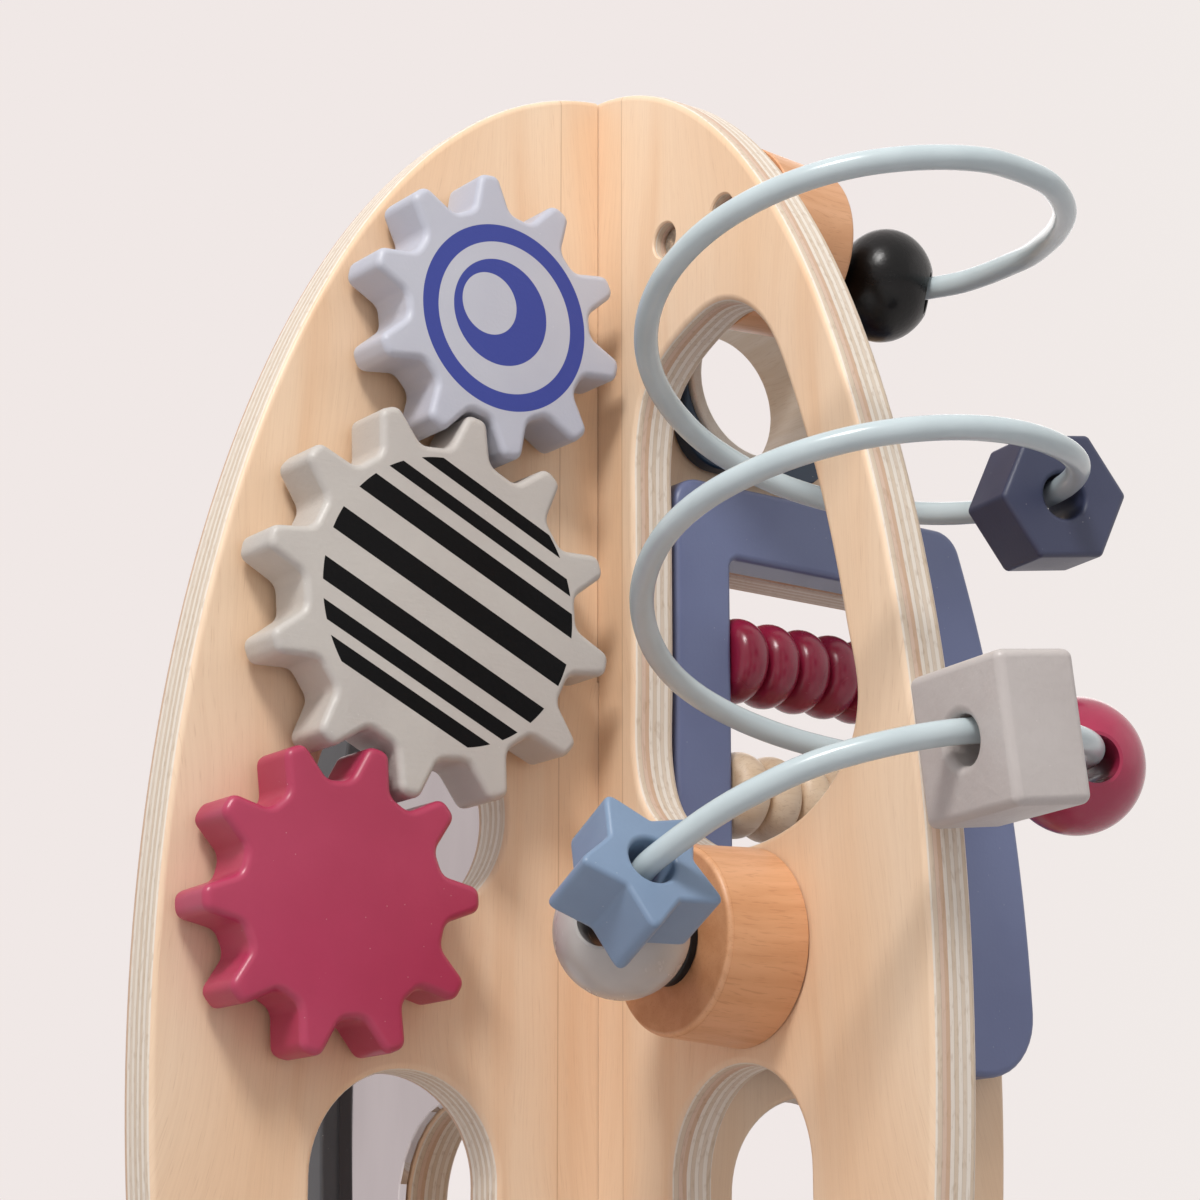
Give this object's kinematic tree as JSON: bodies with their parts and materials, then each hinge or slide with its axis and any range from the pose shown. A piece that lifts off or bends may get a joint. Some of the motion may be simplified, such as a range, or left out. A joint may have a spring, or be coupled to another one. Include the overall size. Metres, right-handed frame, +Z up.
{
  "type": "wooden activity toy",
  "caption": "Free-standing plywood toy of two crossed panels, with meshing gears, shaped beads on a looping wire, an abacus board, a round window and a mirror.",
  "frame": {"origin": "on the floor, on the vertical line where the two panels cross", "axes": "+Z up; the gear wing runs to -X, the abacus wing to +X, the wire wing to -Y and the mirror wing to +Y"},
  "size_m": [0.3, 0.3466, 0.4],
  "materials": {
    "plywood": "clear satin lacquer on birch plywood",
    "turned_wood": "clear satin lacquer on turned hardwood",
    "pale_wood": "clear lacquer on pale hardwood",
    "ice_blue_paint": "satin water-based paint over wood, with a dark blue ring print",
    "stone_paint": "satin paint over wood, with black printed stripes",
    "raspberry_paint": "satin paint over wood",
    "coated_wire": "glossy pale plastic coating on steel wire",
    "stone_lacquer": "semi-gloss lacquer over wood",
    "denim_paint": "satin paint over wood",
    "stone_bead_paint": "satin paint over wood, slightly rough",
    "raspberry_lacquer": "gloss lacquer over wood",
    "slate_paint": "satin paint over wood",
    "black_lacquer": "gloss lacquer",
    "periwinkle_paint": "satin paint over wood",
    "wine_lacquer": "gloss lacquer over wood",
    "navy_paint": "satin paint over wood",
    "charcoal_paint": "satin paint over wood",
    "mirror_sheet": "silvered acrylic mirror",
    "steel": "plain zinc-plated steel"
  },
  "bodies": {
    "toy_body": {"gear_panel": "plywood", "wire_panel": "plywood", "upper_gear_pin": "steel", "upper_gear_washer": "steel", "middle_gear_pin": "steel", "middle_gear_washer": "steel", "lower_gear_pin": "steel", "lower_gear_washer": "steel", "lower_hub": "turned_wood", "lower_hub_collar": "black_lacquer", "lower_hub_screw_1": "steel", "lower_hub_screw_2": "steel", "upper_hub": "turned_wood", "upper_hub_collar": "black_lacquer", "upper_hub_screw_1": "steel", "upper_hub_screw_2": "steel", "bead_wire": "coated_wire", "abacus_board": "periwinkle_paint", "board_screw_1": "steel", "board_screw_2": "steel", "board_screw_3": "steel", "board_screw_4": "steel", "upper_row_rod": "steel", "lower_row_rod": "steel", "port_plate": "navy_paint", "port_ring": "pale_wood", "mirror_frame": "charcoal_paint", "mirror": "mirror_sheet", "mirror_frame_screw_1": "steel", "mirror_frame_screw_2": "steel", "mirror_frame_screw_3": "steel", "mirror_frame_screw_4": "steel"},
    "upper_gear": {"upper_gear": "ice_blue_paint"},
    "middle_gear": {"middle_gear": "stone_paint"},
    "lower_gear": {"lower_gear": "raspberry_paint"},
    "sphere_bead": {"sphere_bead": "stone_lacquer"},
    "star_bead": {"star_bead": "denim_paint"},
    "block_bead": {"block_bead": "stone_bead_paint"},
    "ball_bead": {"ball_bead": "raspberry_lacquer"},
    "hexagon_bead": {"hexagon_bead": "slate_paint"},
    "dark_bead": {"dark_bead": "black_lacquer"},
    "upper_row_disc_1": {"upper_row_disc_1": "wine_lacquer"},
    "upper_row_disc_2": {"upper_row_disc_2": "wine_lacquer"},
    "upper_row_disc_3": {"upper_row_disc_3": "wine_lacquer"},
    "upper_row_disc_4": {"upper_row_disc_4": "wine_lacquer"},
    "upper_row_disc_5": {"upper_row_disc_5": "wine_lacquer"},
    "lower_row_disc_1": {"lower_row_disc_1": "pale_wood"},
    "lower_row_disc_2": {"lower_row_disc_2": "pale_wood"},
    "lower_row_disc_3": {"lower_row_disc_3": "pale_wood"},
    "lower_row_disc_4": {"lower_row_disc_4": "pale_wood"},
    "lower_row_disc_5": {"lower_row_disc_5": "pale_wood"}
  },
  "joints": [
    {"name": "middle_gear_turn", "type": "hinge", "parent": "toy_body", "child": "middle_gear", "pos_m": [-0.0738, -0.0095, 0.2256], "axis": [0, -1, 0], "continuous": true},
    {"name": "upper_gear_turn", "type": "hinge", "parent": "toy_body", "child": "upper_gear", "pos_m": [-0.0559, -0.0095, 0.3138], "axis": [0, -1, 0], "continuous": true},
    {"name": "lower_gear_turn", "type": "hinge", "parent": "toy_body", "child": "lower_gear", "pos_m": [-0.1035, -0.0095, 0.14], "axis": [0, -1, 0], "continuous": true},
    {"name": "sphere_bead_spin", "type": "hinge", "parent": "toy_body", "child": "sphere_bead", "pos_m": [-0.05552, -0.08469, 0.12857], "axis": [-0.7925, -0.607, 0.0594], "continuous": true},
    {"name": "star_bead_spin", "type": "hinge", "parent": "toy_body", "child": "star_bead", "pos_m": [-0.07102, -0.1113, 0.13625], "axis": [-0.0867, -0.8992, 0.429], "continuous": true},
    {"name": "dark_bead_spin", "type": "hinge", "parent": "toy_body", "child": "dark_bead", "pos_m": [0.05671, -0.06507, 0.33575], "axis": [-0.7258, 0.6527, 0.2173], "continuous": true},
    {"name": "block_bead_travel", "type": "hinge", "parent": "toy_body", "child": "block_bead", "pos_m": [0, -0.118, 0.16931], "axis": [0, 0, 1], "range_deg": [-20, 0]},
    {"name": "ball_bead_travel", "type": "hinge", "parent": "toy_body", "child": "ball_bead", "pos_m": [0, -0.118, 0.17507], "axis": [0, 0, 1], "range_deg": [-20, 0]},
    {"name": "hexagon_bead_travel", "type": "hinge", "parent": "toy_body", "child": "hexagon_bead", "pos_m": [0, -0.118, 0.25152], "axis": [0, 0, 1], "range_deg": [-20, 3]},
    {"name": "upper_row_disc_1_slide", "type": "slide", "parent": "toy_body", "child": "upper_row_disc_1", "axis": [1, 0, 0], "range_m": [0, 0.0168]},
    {"name": "upper_row_disc_2_slide", "type": "slide", "parent": "toy_body", "child": "upper_row_disc_2", "axis": [1, 0, 0], "range_m": [0, 0.0168]},
    {"name": "upper_row_disc_3_slide", "type": "slide", "parent": "toy_body", "child": "upper_row_disc_3", "axis": [1, 0, 0], "range_m": [0, 0.0168]},
    {"name": "upper_row_disc_4_slide", "type": "slide", "parent": "toy_body", "child": "upper_row_disc_4", "axis": [1, 0, 0], "range_m": [0, 0.0168]},
    {"name": "upper_row_disc_5_slide", "type": "slide", "parent": "toy_body", "child": "upper_row_disc_5", "axis": [1, 0, 0], "range_m": [0, 0.0168]},
    {"name": "lower_row_disc_1_slide", "type": "slide", "parent": "toy_body", "child": "lower_row_disc_1", "axis": [1, 0, 0], "range_m": [0, 0.0168]},
    {"name": "lower_row_disc_2_slide", "type": "slide", "parent": "toy_body", "child": "lower_row_disc_2", "axis": [1, 0, 0], "range_m": [0, 0.0168]},
    {"name": "lower_row_disc_3_slide", "type": "slide", "parent": "toy_body", "child": "lower_row_disc_3", "axis": [1, 0, 0], "range_m": [0, 0.0168]},
    {"name": "lower_row_disc_4_slide", "type": "slide", "parent": "toy_body", "child": "lower_row_disc_4", "axis": [1, 0, 0], "range_m": [0, 0.0168]},
    {"name": "lower_row_disc_5_slide", "type": "slide", "parent": "toy_body", "child": "lower_row_disc_5", "axis": [1, 0, 0], "range_m": [0, 0.0168]}
  ],
  "couplings": [
    {"joint": "upper_gear_turn", "follows": "middle_gear_turn", "ratio": -1.2},
    {"joint": "lower_gear_turn", "follows": "middle_gear_turn", "ratio": -1.2},
    {"joint": "ball_bead_travel", "follows": "block_bead_travel", "ratio": 1},
    {"joint": "upper_row_disc_2_slide", "follows": "upper_row_disc_1_slide", "ratio": 1},
    {"joint": "upper_row_disc_3_slide", "follows": "upper_row_disc_1_slide", "ratio": 1},
    {"joint": "upper_row_disc_4_slide", "follows": "upper_row_disc_1_slide", "ratio": 1},
    {"joint": "upper_row_disc_5_slide", "follows": "upper_row_disc_1_slide", "ratio": 1},
    {"joint": "lower_row_disc_2_slide", "follows": "lower_row_disc_1_slide", "ratio": 1},
    {"joint": "lower_row_disc_3_slide", "follows": "lower_row_disc_1_slide", "ratio": 1},
    {"joint": "lower_row_disc_4_slide", "follows": "lower_row_disc_1_slide", "ratio": 1},
    {"joint": "lower_row_disc_5_slide", "follows": "lower_row_disc_1_slide", "ratio": 1}
  ]
}
